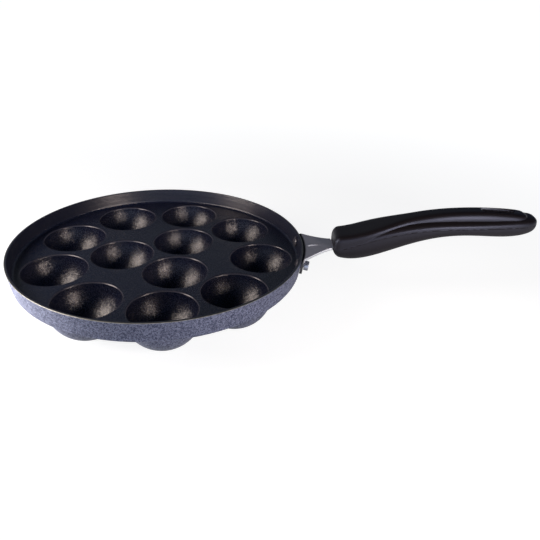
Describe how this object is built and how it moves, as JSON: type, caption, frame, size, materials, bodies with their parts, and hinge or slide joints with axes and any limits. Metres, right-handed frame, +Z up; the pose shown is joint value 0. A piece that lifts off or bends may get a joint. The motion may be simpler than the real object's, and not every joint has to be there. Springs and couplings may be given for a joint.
{
  "type": "paniyaram pan",
  "caption": "Round pressed aluminium pan with half-round cavities for small dumplings, non-stick inside, with a riveted steel bracket and a curved moulded grip.",
  "frame": {"origin": "on the standing plane, under the middle of the overall length", "axes": "+X along the handle, from the pan to the grip's tip; +Z up; +Y to the left of the handle"},
  "size_m": [0.4113, 0.2298, 0.0749],
  "materials": {
    "coated_aluminium": "black non-stick coat inside, blue-grey hammered paint outside, bare rim",
    "bracket_steel": "satin grey",
    "rivet_aluminium": "plain",
    "grip_phenolic": "satin black phenolic moulding",
    "zinc_steel": "zinc plated",
    "insert_brass": "turned"
  },
  "bodies": {
    "root": {"pan_body": "coated_aluminium", "handle_bracket": "bracket_steel", "rivet_near": "rivet_aluminium", "rivet_far": "rivet_aluminium", "handle_grip": "grip_phenolic", "grip_screw": "zinc_steel", "lock_washer": "zinc_steel", "threaded_insert": "insert_brass"}
  },
  "joints": []
}
